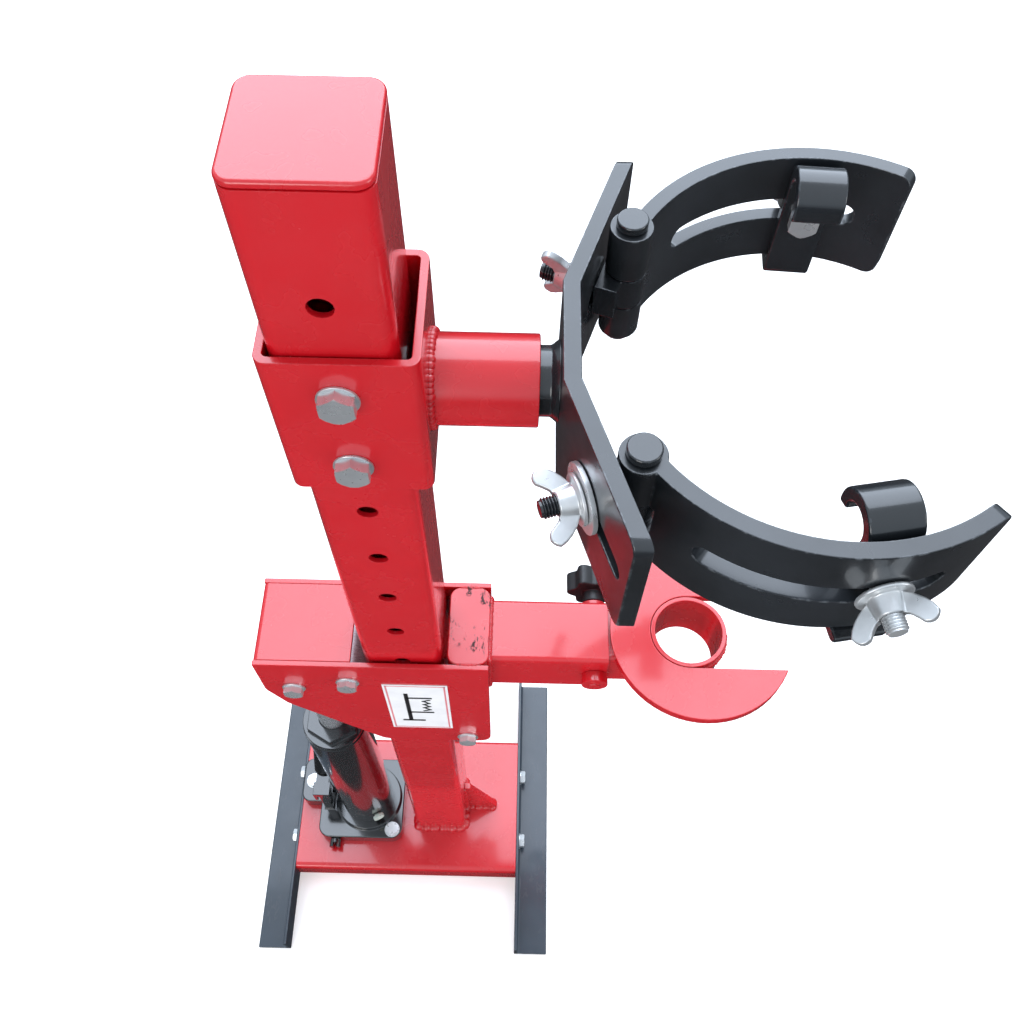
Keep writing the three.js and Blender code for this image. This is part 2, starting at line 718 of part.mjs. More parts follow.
function pivotWingNut(turn) {
  const nut = wingNut(studDiameter).rotateZ(turn * deg).rotateY(Math.PI / 2);
  return studWise(nut.translate(washerThickness + 2 * runningGap, 0, 0));
}

function pivotWasher() {
  const end = runningGap + washerThickness;
  return studWise(tube('x', washerDiameter, studDiameter + boltPlay, runningGap, end, 0, 0));
}

[['rear', 1], ['front', -1]].forEach(([side, sign]) => {
  const handed = (geometry) => (sign === 1 ? geometry : mirrorY(geometry));
  part(`pivot_block_${side}`, 'black', handed(makePivotBlock()));
  part(`hinge_pin_${side}`, 'black', handed(makeHingePin()));
  part(`pivot_washer_${side}`, 'zinc', handed(pivotWasher()));
  part(`pivot_wing_nut_${side}`, 'zinc', handed(pivotWingNut(pivotNutTurn[side])));
  const swinging = new THREE.Group();
  compressor.add(swinging);
  swinging.position.set(pin.x, sign * pin.y, 0);
  swinging.rotation.z = armSwing[side] * deg;
  const hung = (geometry) => handed(geometry).translate(-pin.x, -sign * pin.y, 0);
  part(`arm_${side}`, 'black', hung(makeArm()), swinging);
  part(`jaw_${side}`, 'black', hung(onArm(makeJaw())), swinging);
  part(`jaw_bolt_${side}`, 'zinc', hung(onArm(makeJawBolt())), swinging);
  part(`jaw_wing_nut_${side}`, 'zinc', hung(onArm(jawWingNut())), swinging);
});

// ---- carriage -----------------------------------------------------------------------------------
const upperRollerZ = carriageTop - upperRollerDrop;
const lowerRollerZ = carriageTop - lowerRollerDrop;
const pinZ = carriageTop - pinDrop;
const plateInner = plateGap / 2;
const boltHoles = [[-rollerX, upperRollerZ], [rollerX, lowerRollerZ], [jackX, pinZ]];

function makeSidePlate(y0, y1) {
  const bottom = carriageTop - carriageDepth;
  const outline = roundedOutline([
    [plateLeft, carriageTop], [plateLeft, carriageTop - 62, 22], [plateLeft + 14, carriageTop - 98, 14],
    [-34, bottom, 20], [plateRight, bottom, 16], [plateRight, carriageTop],
  ]);
  const holes = boltHoles.map(([x, z]) => rod('y', rollerBolt + boltPlay, y0 - 1, y1 + 1, x, z, 16));
  return cut(plateXZ(outline, y0, y1), ...holes);
}

// Folded sheet: a top between the side plates and a wall down the left side.
function makeCover() {
  const outline = roundedOutline([
    [coverRight, carriageTop], [plateLeft, carriageTop, 5], [plateLeft, carriageTop - coverDrop],
    [plateLeft + coverThickness, carriageTop - coverDrop],
    [plateLeft + coverThickness, carriageTop - coverThickness, 2], [coverRight, carriageTop - coverThickness],
  ]);
  return plateXZ(outline, -plateInner, plateInner);
}

// A box with a closed top and rounded corners, open below.
function makeEndBlock() {
  const left = half + columnPlay;
  const width = plateRight - left;
  const middle = (plateRight + left) / 2;
  const bottom = carriageTop - endBlockHeight;
  const outer = plateXY(roundedRect(width, plateGap, endBlockCorner, middle), bottom, carriageTop);
  const inner = plateXY(roundedRect(width - 2 * endBlockWall, plateGap - 2 * endBlockWall,
    endBlockCorner - endBlockWall, middle), bottom - 1, carriageTop - endBlockWall);
  return cut(outer, inner);
}

function squareTube(size, wall, x0, x1, z) {
  const section = roundedRect(size, size, tubeCorner, 0, z);
  const inner = size - 2 * wall;
  section.holes.push(roundedRect(inner, inner, Math.max(tubeCorner - wall, 0.8), 0, z));
  return plateYZ(section, x0, x1, 4);
}

const carriage = new THREE.Group();
compressor.add(carriage);
part('carriage_front_plate', 'red', makeSidePlate(-plateFace, -plateInner), carriage);
part('carriage_rear_plate', 'red', makeSidePlate(plateInner, plateFace), carriage);
part('carriage_cover', 'red', makeCover(), carriage);
part('carriage_end_block', 'red', makeEndBlock(), carriage);
[['upper_roller', -rollerX, upperRollerZ], ['lower_roller', rollerX, lowerRollerZ]].forEach(([name, x, z]) => {
  const length = plateInner - runningGap;
  part(name, 'steel', tube('y', rollerDiameter, rollerBolt + runFit, -length, length, x, z, 32), carriage);
  part(`${name}_bolt`, 'zinc', throughBolt('y', rollerBolt, -plateFace, plateFace, x, z, 24), carriage);
});
part('ram_pin_bolt', 'zinc', throughBolt('y', rollerBolt, -plateFace, plateFace, jackX, pinZ), carriage);
part('label_plate', 'label', box(8 - labelWidth / 2, 8 + labelWidth / 2, -plateFace - labelThickness,
  -plateFace, carriageTop - labelDrop - labelHeight, carriageTop - labelDrop), carriage);

// ---- lower arm ----------------------------------------------------------------------------------
const tubeHalf = armTubeSize / 2;
const saddleTop = tubeZ + extensionSize / 2 + saddleThickness;

function makeArmTube() {
  const bar = squareTube(armTubeSize, armTubeWall, plateRight, armTubeEnd, tubeZ);
  const collar = rod('y', lockNutAcross, tubeHalf - 1, tubeHalf + lockNutHeight, lockX, tubeZ);
  const screwBore = screwSize + runFit;
  const screwHole = rod('y', screwBore, -tubeHalf - 1, tubeHalf + lockNutHeight + 1, lockX, tubeZ, 24);
  const inside = roundedRect(armTubeSize - 2 * armTubeWall, armTubeSize - 2 * armTubeWall, 1, 0, tubeZ);
  return cut(join(bar, collar), screwHole, plateYZ(inside, plateRight - 1, armTubeEnd + 1, 4));
}

// The plate under the spring: a disc with an open slot that takes the ring.
function makeSaddlePlate() {
  const disc = rod('z', 2 * saddleRadius, saddleTop - saddleThickness, saddleTop, saddleX, 0, 64);
  const r = ringOuter / 2 + weldGap;
  const mouth = new THREE.Shape();
  mouth.absarc(ringX, 0, r, Math.PI / 2, Math.PI * 1.5);
  mouth.lineTo(saddleX + saddleRadius + 5, -r);
  mouth.lineTo(saddleX + saddleRadius + 5, r);
  mouth.closePath();
  return cut(disc, plateXY(mouth, saddleTop - saddleThickness - 1, saddleTop + 1, 24));
}

// The extension ends in a hollow that fits round the ring.
function makeExtension() {
  const start = armTubeEnd - extensionInside;
  const bar = squareTube(extensionSize, extensionWall, start, ringX - 4, tubeZ);
  const room = rod('z', ringOuter + 2 * weldGap, tubeZ - armTubeSize, tubeZ + armTubeSize, ringX, 0, 48);
  return cut(bar, room);
}

// A star knob on a screw that presses on the extension.
function makeClampKnob() {
  const lobes = 6;
  const outline = new THREE.Shape();
  for (let i = 0; i <= lobes * 8; i += 1) {
    const a = i / (lobes * 8) * 2 * Math.PI;
    const r = knobDiameter / 2 - 3.2 + 3.2 * Math.cos(lobes * a);
    if (i === 0) outline.moveTo(r, 0); else outline.lineTo(r * Math.cos(a), r * Math.sin(a));
  }
  const start = tubeHalf + lockNutHeight + knobNeck;
  const head = along('y', extrude(outline, knobThickness, 1).translate(0, 0, start));
  const screwStart = extensionSize / 2 + 0.4;
  return join(head.translate(lockX, 0, tubeZ), rod('y', screwSize, screwStart, start + 2, lockX, tubeZ, 24),
    rod('y', 20, tubeHalf + lockNutHeight + 1, start + 2, lockX, tubeZ));
}

// The round nut on the tube's front with its set screw, which reaches the extension.
function makeLockNut() {
  return join(
    rod('y', lockNutAcross, -tubeHalf - lockNutHeight, -tubeHalf, lockX, tubeZ),
    hexBar('y', 9, -tubeHalf - lockNutHeight - 2, -tubeHalf - 2, lockX, tubeZ),
    rod('y', screwSize, -tubeHalf - 2, -extensionSize / 2 - 0.4, lockX, tubeZ, 24),
  );
}

part('arm_tube', 'red', makeArmTube(), carriage);
part('lock_nut', 'red', makeLockNut(), carriage);
part('clamp_knob', 'plastic', makeClampKnob(), carriage);
part('extension_tube', 'red', makeExtension(), carriage);
part('saddle_plate', 'red', makeSaddlePlate(), carriage);
part('saddle_ring', 'red',
  tube('z', ringOuter, ringOuter - 2 * ringWall, saddleTop - ringHeight, saddleTop, ringX, 0, 48), carriage);

// ---- jack ---------------------------------------------------------------------------------------
const jackTop = baseTop + jackBaseHeight;
const jackSeat = jackTop + jackFlangeHeight;
const pumpX = jackX + pumpFromJack[0];
const pumpY = pumpFromJack[1];
const fulcrumY = pumpY - fulcrumReach;
const pumpTop = jackTop + pumpHeight;
const fulcrumZ = pumpTop + 8;
const leverBottom = fulcrumZ + 8;
const plungerTop = leverBottom - 0.3;
const valvePlace = [jackX - 44, jackTop - jackBaseHeight / 2];

function makeJackBase() {
  const width = jackBaseBehind + jackBaseAhead;
  const middle = jackX + (jackBaseAhead - jackBaseBehind) / 2;
  const block = plateXY(roundedRect(width, 2 * jackBaseHalfWidth, 16, middle), baseTop, jackTop);
  const lobe = plateXY(roundedRect(58, 62, 12, jackX - jackBaseBehind, pumpY), baseTop, jackTop);
  const flange = rod('z', jackFlange, jackTop - 1, jackSeat, jackX, 0, 48);
  const barrel = rod('z', pumpOuter, jackTop - 1, pumpTop, pumpX, pumpY, 28);
  const post = box(pumpX - 6, pumpX + 6, fulcrumY - 7, fulcrumY + 7, jackTop - 1, fulcrumZ + 2.5);
  const fulcrumBore = rod('x', fulcrumPin + runFit, pumpX - 7, pumpX + 7, fulcrumY, fulcrumZ, 24);
  const bolts = Object.values(jackBoltPlaces).map(([x, y]) =>
    rod('z', jackBolt + boltPlay, baseTop - 1, jackTop + 1, x, y, 16));
  const pumpBore = rod('z', plungerDiameter + runFit, jackTop - 10, pumpTop + 1, pumpX, pumpY, 24);
  const valveBore = rod('y', 10 + runFit, -jackBaseHalfWidth - 1, -jackBaseHalfWidth + 16, ...valvePlace, 24);
  return cut(join(block, lobe, flange, barrel, post), ...bolts, pumpBore, valveBore, fulcrumBore);
}

function makeReservoir() {
  const shell = tube('z', reservoirOuter, reservoirOuter - 2 * reservoirWall, jackSeat, reservoirTop, jackX, 0, 48);
  const port = rod('x', 10, 20, 50, 0, 0, 16).rotateZ(plugAngle * deg).translate(jackX, 0, plugZ);
  return cut(shell, port);
}

const plugAngle = -60;
const plugZ = jackSeat + 26;

function makeFillerPlug() {
  const r = reservoirOuter / 2;
  const plug = join(rod('x', 15, r + 1.2, r + 6, 0, 0, 20), rod('x', 9, r - reservoirWall, r + 2, 0, 0, 16));
  return plug.rotateZ(plugAngle * deg).translate(jackX, 0, plugZ);
}

// A flanged ring that closes the reservoir round the ram, with a hexagon to turn it.
function makeGlandNut() {
  const bore = ramDiameter + 2 * runningGap;
  return cut(
    join(
      rod('z', reservoirOuter - 2, reservoirTop, reservoirTop + 8, jackX, 0, 48),
      hexBar('z', 54, reservoirTop + 7, reservoirTop + glandHeight, jackX, 0),
    ),
    rod('z', bore, reservoirTop - 1, reservoirTop + glandHeight + 1, jackX, 0, 32),
  );
}

const ramHeadBottom = pinZ - ramHeadSize / 2;
const ramSocket = 12;

function makeRam() {
  const piston = cylinderOuter - 2 * cylinderWall - 2 * runningGap;
  return join(
    rod('z', ramDiameter, ramBottom, ramHeadBottom + ramSocket - weldGap, jackX, 0, 32),
    rod('z', piston, ramBottom, ramBottom + ramPistonHeight, jackX, 0, 32),
  );
}

function makeRamHead() {
  const w = ramHeadWidth / 2;
  return cut(
    box(jackX - ramHeadSize / 2, jackX + ramHeadSize / 2, -w, w, ramHeadBottom, pinZ + ramHeadSize / 2 - 4),
    rod('z', ramDiameter + 2 * weldGap, ramHeadBottom - 1, ramHeadBottom + ramSocket, jackX, 0, 32),
    rod('y', rollerBolt + boltPlay, -w - 1, w + 1, jackX, pinZ, 20),
  );
}

// A lever on the fulcrum pin that presses on the plunger and carries the handle's socket.
function makeHandleSocket() {
  const top = leverBottom + 11;
  const lever = box(pumpX - 9, pumpX + 9, fulcrumY - 9, pumpY + 12, leverBottom, top);
  const cheeks = [-9, 9].map((x) =>
    box(pumpX + x - 2.4, pumpX + x + 2, fulcrumY - 9, fulcrumY + 9, fulcrumZ - 8, top));
  const fulcrum = rod('x', fulcrumPin, pumpX - 10, pumpX + 10, fulcrumY, fulcrumZ, 24);
  const [socket, bore] = [[socketOuter, 0], [socketOuter - 6, 22]].map(([diameter, start]) =>
    rod('z', diameter, start, socketLength + start / 22, 0, 0, 24).rotateX((socketRise - 90) * deg)
      .translate(pumpX, pumpY - 6, leverBottom + 9));
  return cut(join(lever, ...cheeks, fulcrum, socket), bore);
}

// The plunger's top is domed, so that the lever can roll over it.
function makePlunger() {
  const r = plungerDiameter / 2;
  const dome = [0.9, 0.7, 0.5, 0.35, 0.2, 0].map((share) => (
    [r * share, plungerTop - (r * share) ** 2 / (2 * plungerDomeRadius)]));
  const profile = [[0, jackTop + 6], [r, jackTop + 6], [r, plungerTop - 3.5], ...dome]
    .map(([x, y]) => new THREE.Vector2(x, y));
  return new THREE.LatheGeometry(profile, 24).rotateX(Math.PI / 2).translate(pumpX, pumpY, 0);
}

function makeReleaseValve() {
  const face = -jackBaseHalfWidth;
  return cut(
    join(rod('y', 10, face - 2, face + 12, ...valvePlace, 24), rod('y', 16, face - 12, face - 1, ...valvePlace, 24)),
    box(valvePlace[0] - 2, valvePlace[0] + 2, face - 13, face - 7, valvePlace[1] - 10, valvePlace[1] + 10),
  );
}

part('jack_base', 'black', makeJackBase());
part('jack_reservoir', 'black', makeReservoir());
part('jack_cylinder', 'steel', tube('z', cylinderOuter, cylinderOuter - 2 * cylinderWall, jackSeat,
  reservoirTop - weldGap, jackX, 0, 32));
part('jack_gland_nut', 'black', makeGlandNut());
part('filler_plug', 'zinc', makeFillerPlug());
part('jack_ram', 'steel', makeRam(), carriage);
part('ram_head', 'black', makeRamHead(), carriage);
part('pump_plunger', 'steel', makePlunger());
part('handle_socket', 'black', makeHandleSocket());
part('release_valve', 'black', makeReleaseValve());
Object.entries(jackBoltPlaces).forEach(([name, [x, y]]) => {
  const bolt = throughBolt('z', jackBolt, -jackTop, -(baseTop - baseWall), 0, 0).rotateX(Math.PI);
  part(name, 'zinc', bolt.translate(x, y, 0));
});

// The part's origin is on the floor, in the middle of its bounding box.
const bounds = new THREE.Box3().setFromObject(compressor, true);
compressor.position.x = -(bounds.min.x + bounds.max.x) / 2;

export default compressor;
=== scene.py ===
"""Looks of the strut spring compressor: coated steel, zinc fasteners, welds, label and studio."""
import json
import math

import bmesh
import bpy
from mathutils import Matrix, Vector

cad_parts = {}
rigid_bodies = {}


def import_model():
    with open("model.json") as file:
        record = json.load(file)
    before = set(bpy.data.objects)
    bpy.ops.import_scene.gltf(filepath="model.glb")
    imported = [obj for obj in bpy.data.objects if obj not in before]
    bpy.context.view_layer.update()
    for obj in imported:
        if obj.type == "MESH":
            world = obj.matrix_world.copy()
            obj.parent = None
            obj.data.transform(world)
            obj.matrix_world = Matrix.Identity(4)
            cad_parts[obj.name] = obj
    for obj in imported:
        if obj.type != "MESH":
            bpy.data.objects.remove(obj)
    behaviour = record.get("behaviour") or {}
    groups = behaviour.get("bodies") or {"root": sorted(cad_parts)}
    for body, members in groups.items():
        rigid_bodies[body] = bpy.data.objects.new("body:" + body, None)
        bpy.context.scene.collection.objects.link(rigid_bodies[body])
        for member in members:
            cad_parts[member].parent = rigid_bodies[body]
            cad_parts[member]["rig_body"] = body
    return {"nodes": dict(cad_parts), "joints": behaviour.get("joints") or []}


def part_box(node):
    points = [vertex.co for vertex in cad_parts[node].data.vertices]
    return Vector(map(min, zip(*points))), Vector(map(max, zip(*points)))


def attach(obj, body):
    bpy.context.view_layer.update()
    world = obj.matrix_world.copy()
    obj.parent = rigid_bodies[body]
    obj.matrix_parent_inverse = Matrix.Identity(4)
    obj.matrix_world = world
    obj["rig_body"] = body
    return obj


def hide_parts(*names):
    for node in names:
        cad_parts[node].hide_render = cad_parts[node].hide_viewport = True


MM = 0.001
MERGE = 0.001 * MM    # points of a new mesh closer than this are one point
SHARP_ANGLE = 32      # degrees; edges that turn more than this are rounded
FLAT_ANGLE = 0.8      # degrees; triangles that turn less than this are one flat face
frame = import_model()
nodes = frame["nodes"]
joints = {joint["name"]: joint for joint in frame["joints"]}
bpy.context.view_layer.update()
X, Y, UP = Vector((1, 0, 0)), Vector((0, 1, 0)), Vector((0, 0, 1))


# ---- materials -----------------------------------------------------------------------------------
DULL_PLATING = 0.72   # metallic share of plated and machined steel


class Finish:
    """A material made of a Principled shader and procedural patterns on Object coordinates."""

    def __init__(self, name, roughness, metallic=0.0, coat=0.0, specular=0.5):
        self.material = bpy.data.materials.new(name)
        self.material.use_nodes = True
        self.tree = self.material.node_tree
        self.shader = self.tree.nodes["Principled BSDF"]
        self.shader.inputs["Roughness"].default_value = roughness
        self.shader.inputs["Metallic"].default_value = metallic
        self.shader.inputs["Specular IOR Level"].default_value = specular
        self.shader.inputs["Coat Weight"].default_value = coat
        self.shader.inputs["Coat Roughness"].default_value = 0.08
        self.place = self.node("ShaderNodeTexCoord").outputs["Object"]

    def node(self, kind, **settings):
        made = self.tree.nodes.new(kind)
        for name, value in settings.items():
            setattr(made, name, value)
        return made

    def link(self, source, target):
        self.tree.links.new(source, target)
        return target

    def noise(self, scale, detail=3.0, roughness=0.55, stretch=None, distortion=0.0):
        place = self.place
        if stretch:
            mapping = self.node("ShaderNodeMapping")
            mapping.inputs["Scale"].default_value = stretch
            self.link(place, mapping.inputs["Vector"])
            place = mapping.outputs["Vector"]
        noise = self.node("ShaderNodeTexNoise")
        noise.inputs["Scale"].default_value = scale
        noise.inputs["Detail"].default_value = detail
        noise.inputs["Roughness"].default_value = roughness
        noise.inputs["Distortion"].default_value = distortion
        self.link(place, noise.inputs["Vector"])
        return noise.outputs["Fac"]

    def span(self, value, low, high, to_low=0.0, to_high=1.0):
        """Maps low..high of a pattern to another range and holds it there."""
        ramp = self.node("ShaderNodeMapRange")
        limits = {"From Min": low, "From Max": high, "To Min": to_low, "To Max": to_high}
        for name, number in limits.items():
            ramp.inputs[name].default_value = number
        self.link(value, ramp.inputs["Value"])
        return ramp.outputs["Result"]

    def times(self, a, b):
        """Multiplies two patterns, or a pattern and a number."""
        product = self.node("ShaderNodeMath", operation="MULTIPLY")
        for value, target in ((a, product.inputs[0]), (b, product.inputs[1])):
            if isinstance(value, (int, float)):
                target.default_value = value
            else:
                self.link(value, target)
        return product.outputs[0]

    def mix(self, factor, a, b):
        """Mixes two colours, or a made colour and a plain one."""
        blend = self.node("ShaderNodeMix", data_type="RGBA")
        self.link(factor, blend.inputs["Factor"])
        for value, target in ((a, blend.inputs[6]), (b, blend.inputs[7])):
            if isinstance(value, tuple):
                target.default_value = (*value, 1)
            else:
                self.link(value, target)
        return blend.outputs[2]

    def colour(self, value):
        self.link(value, self.shader.inputs["Base Color"])

    def roughness(self, value):
        self.link(value, self.shader.inputs["Roughness"])

    def bump(self, *layers):
        """Each layer is (pattern, height in metres)."""
        previous = None
        for pattern, height in layers:
            bump = self.node("ShaderNodeBump")
            bump.inputs["Strength"].default_value = 1.0
            bump.inputs["Distance"].default_value = height
            self.link(pattern, bump.inputs["Height"])
            if previous:
                self.link(previous, bump.inputs["Normal"])
            previous = bump.outputs["Normal"]
        self.link(previous, self.shader.inputs["Normal"])


def coated(name, colour, shade, edge, roughness, coat, wear=0.25, scuffs=0.0,
           scuff_colour=(0.03, 0.02, 0.02), peel=1.0):
    """Powder coat: orange peel, slight mottling, wear along edges, and scuffs where it was knocked."""
    finish = Finish(name, roughness, coat=coat)
    body = finish.mix(finish.span(finish.noise(14, 4), 0.35, 0.65), colour, shade)
    worn = finish.node("ShaderNodeAttribute", attribute_name="edge").outputs["Fac"]
    chips = finish.times(worn, finish.span(finish.noise(160, 4, 0.7), 0.5, 0.62))
    body = finish.mix(finish.times(chips, wear), body, edge)
    if scuffs:
        streaks = finish.span(finish.noise(170, 5, 0.7, stretch=(1, 0.4, 1), distortion=0.6), 0.56, 0.59)
        patches = finish.span(finish.noise(26, 2), 0.47, 0.54)
        scraped = finish.times(finish.times(streaks, patches), scuffs)
        body = finish.mix(scraped, body, scuff_colour)
        finish.link(finish.span(scraped, 0, 1, coat, 0), finish.shader.inputs["Coat Weight"])
        finish.link(finish.span(scraped, 0, 1, 0.5, 0.1), finish.shader.inputs["Specular IOR Level"])
    finish.colour(body)
    finish.roughness(finish.span(finish.noise(30, 3, 0.55), 0.3, 0.7, roughness * 0.88, roughness * 1.15))
    finish.bump((finish.noise(420, 2), 0.00002 * peel), (finish.noise(30, 2), 0.00007 * peel))
    return finish.material


def bare_metal(name, colour, shade, roughness, grain=(1, 1, 1), grain_scale=240, pits=0.00002):
    """Plated or machined metal: cloudy plating and fine machining lines along one direction."""
    finish = Finish(name, roughness, metallic=DULL_PLATING)
    clouds = finish.span(finish.noise(70, 4), 0.3, 0.7)
    finish.colour(finish.mix(clouds, colour, shade))
    lines = finish.noise(grain_scale, 3, 0.6, stretch=grain)
    finish.roughness(finish.span(lines, 0.25, 0.75, roughness * 0.7, roughness * 1.5))
    finish.bump((lines, pits), (finish.noise(500, 2), 0.000004))
    return finish.material


def moulded(name, colour, shade, roughness, grain=0.00005):
    """Plastic, film or ink: one colour with a faint grain."""
    finish = Finish(name, roughness)
    finish.colour(finish.mix(finish.span(finish.noise(60, 3), 0.35, 0.65), colour, shade))
    finish.roughness(finish.span(finish.noise(300, 3), 0.3, 0.7, roughness * 0.85, roughness * 1.2))
    finish.bump((finish.noise(1500, 2), grain))
    return finish.material


RED = coated("red_powder_coat", (0.59, 0.006, 0.013), (0.565, 0.005, 0.011), (0.68, 0.05, 0.06), 0.26, 0.7)
RED_KNOCKED = coated("red_powder_coat_knocked", (0.59, 0.006, 0.013), (0.565, 0.005, 0.011),
                     (0.25, 0.02, 0.02), 0.28, 0.6, wear=0.6, scuffs=0.95)
BLACK = coated("black_powder_coat", (0.010, 0.012, 0.014), (0.016, 0.018, 0.021), (0.07, 0.08, 0.09),
               0.24, 0.6, wear=0.35)
BLACK_GLOSS = coated("black_gloss_paint", (0.006, 0.007, 0.008), (0.009, 0.010, 0.011), (0.05, 0.05, 0.055),
                     0.14, 1.0, wear=0.2, peel=0.3)
BLACK_CUT = coated("black_coat_on_cut_plate", (0.011, 0.013, 0.015), (0.020, 0.023, 0.027),
                   (0.12, 0.13, 0.14), 0.30, 0.5, wear=0.6)
SLATE = coated("slate_coat", (0.018, 0.028, 0.040), (0.028, 0.040, 0.055), (0.14, 0.15, 0.16),
               0.34, 0.35, wear=0.7, scuffs=0.25, scuff_colour=(0.12, 0.12, 0.12))
ZINC = bare_metal("zinc_plate", (0.74, 0.75, 0.75), (0.64, 0.65, 0.66), 0.28, grain_scale=90,
                  pits=0.000008)
CAST_ZINC = bare_metal("zinc_plate_cast", (0.74, 0.75, 0.75), (0.62, 0.63, 0.64), 0.34,
                       grain_scale=120, pits=0.00003)
STEEL = bare_metal("ground_steel", (0.62, 0.63, 0.64), (0.52, 0.53, 0.55), 0.22, grain=(1, 1, 12))
ROLLER_STEEL = bare_metal("turned_steel", (0.56, 0.57, 0.58), (0.45, 0.46, 0.48), 0.28, grain=(1, 14, 1))
PLASTIC = moulded("black_plastic", (0.012, 0.012, 0.013), (0.018, 0.018, 0.019), 0.42)
PLUG_PLASTIC = moulded("filler_plug_plastic", (0.52, 0.58, 0.50), (0.45, 0.50, 0.44), 0.40)
FILM = moulded("label_film", (0.84, 0.82, 0.81), (0.78, 0.76, 0.76), 0.35, grain=0.00001)
LABEL_INK = moulded("label_ink", (0.012, 0.012, 0.013), (0.02, 0.02, 0.02), 0.45, grain=0.00001)
LABEL_RIM = moulded("label_rim_ink", (0.72, 0.20, 0.22), (0.66, 0.17, 0.19), 0.45, grain=0.00001)


# ---- pieces --------------------------------------------------------------------------------------
def add_piece(name, bm, material, body, smooth=38, weighted=True, stands_for=()):
    """Makes a bmesh a finished piece that rides on a body."""
    for face in bm.faces:
        face.smooth = True
    for edge in bm.edges:
        edge.smooth = not (edge.is_manifold and edge.calc_face_angle(0) > math.radians(smooth))
    mesh = bpy.data.meshes.new(name)
    bm.to_mesh(mesh)
    bm.free()
    mesh.materials.append(material)
    piece = bpy.data.objects.new(name, mesh)
    bpy.context.scene.collection.objects.link(piece)
    if weighted:
        normals = piece.modifiers.new("even_shading", "WEIGHTED_NORMAL")
        normals.keep_sharp = True
    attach(piece, body)
    if stands_for:
        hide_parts(*stands_for)
    return piece


def body_of(node):
    return nodes[node]["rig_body"]


def merged_copy(node):
    """A node's mesh with its loose triangles merged into flat faces."""
    bm = bmesh.new()
    bm.from_mesh(nodes[node].data)
    bmesh.ops.remove_doubles(bm, verts=bm.verts, dist=0.02 * MM)
    bmesh.ops.dissolve_limit(bm, angle_limit=math.radians(FLAT_ANGLE), verts=bm.verts, edges=bm.edges)
    return bm


def soften_edges(bm, width, segments):
    """Rounds the sharp edges and marks the new faces as edge wear."""
    edge_layer = bm.faces.layers.float.new("edge")
    limit = math.radians(SHARP_ANGLE)
    sharp = [edge for edge in bm.edges if edge.is_manifold and edge.calc_face_angle(0) > limit]
    made = bmesh.ops.bevel(bm, geom=sharp, offset=width * MM, offset_type="OFFSET", segments=segments,
                           profile=0.5, affect="EDGES", clamp_overlap=False, material=-1)
    for face in made["faces"]:
        face[edge_layer] = 1.0


def soften_node(node, material, width, segments):
    """A node's own shape with rounded edges, in place of the plain node."""
    bm = merged_copy(node)
    soften_edges(bm, width, segments)
    return add_piece(f"{node}_shape", bm, material, body_of(node), stands_for=(node,))


def span_along(node, direction):
    """Lowest and highest reach of a node along a direction."""
    reaches = [vert.co.dot(direction) for vert in nodes[node].data.vertices]
    return min(reaches), max(reaches)


def middle(node):
    low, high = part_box(node)
    return (Vector(low) + Vector(high)) / 2


def frame_at(point, direction):
    """Puts local +Z on a direction, with the origin at a point."""
    return Matrix.Translation(point) @ direction.to_track_quat("Z", "Y").to_matrix().to_4x4()


# ---- fasteners -----------------------------------------------------------------------------------
M12_RADIUS = 6 * MM
M12_PITCH = 1.75 * MM
M12_THREAD_DEPTH = 1.0 * MM
WASHER_THICKNESS = 1.6 * MM
WASHER_MARGIN = 4.6 * MM   # a washer's diameter beyond the head's width across flats
BOLT_TAIL = 3 * MM         # thread left past the nut
JAW_BOLT_ACROSS = 18 * MM
JAW_BOLT_HEAD = 7 * MM
CHAMFER_TILT = 62          # degrees that the normal of a corner cut is raised from level


def lathe(profile, sides, closed=False):
    """Spins (radius, height) points round Z; an open run of points ends on the axis."""
    bm = bmesh.new()
    verts = [bm.verts.new((radius, 0, height)) for radius, height in profile]
    following = verts[1:] + verts[:1] if closed else verts[1:]
    edges = [bm.edges.new(pair) for pair in zip(verts, following)]
    bmesh.ops.spin(bm, geom=verts + edges, cent=(0, 0, 0), axis=(0, 0, 1), angle=2 * math.pi,
                   steps=sides, use_merge=True, use_duplicate=False)
    bmesh.ops.remove_doubles(bm, verts=bm.verts, dist=MERGE)
    bmesh.ops.recalc_face_normals(bm, faces=bm.faces)
    return bm


def thread_profile(radius, start, end, pitch, depth):
    """A thread seen from the side, with a chamfered tip."""
    points = [(0, start), (radius - depth, start)]
    turns = int((end - start - depth) / pitch)
    for turn in range(turns):
        z = start + turn * pitch
        points += [(radius, z + 0.4 * pitch), (radius, z + 0.6 * pitch), (radius - depth, z + pitch)]
    return points + [(radius - depth, end - 0.2 * depth), (radius - 1.6 * depth, end), (0, end)]


def cut_away(bm, point, normal):
    """Removes what lies past a plane and closes the cut."""
    everything = bm.verts[:] + bm.edges[:] + bm.faces[:]
    cut = bmesh.ops.bisect_plane(bm, geom=everything, plane_co=point, plane_no=normal,
                                 clear_outer=True, dist=1e-7)
    rim = [item for item in cut["geom_cut"] if isinstance(item, bmesh.types.BMEdge)]
    bmesh.ops.edgeloop_fill(bm, edges=rim)


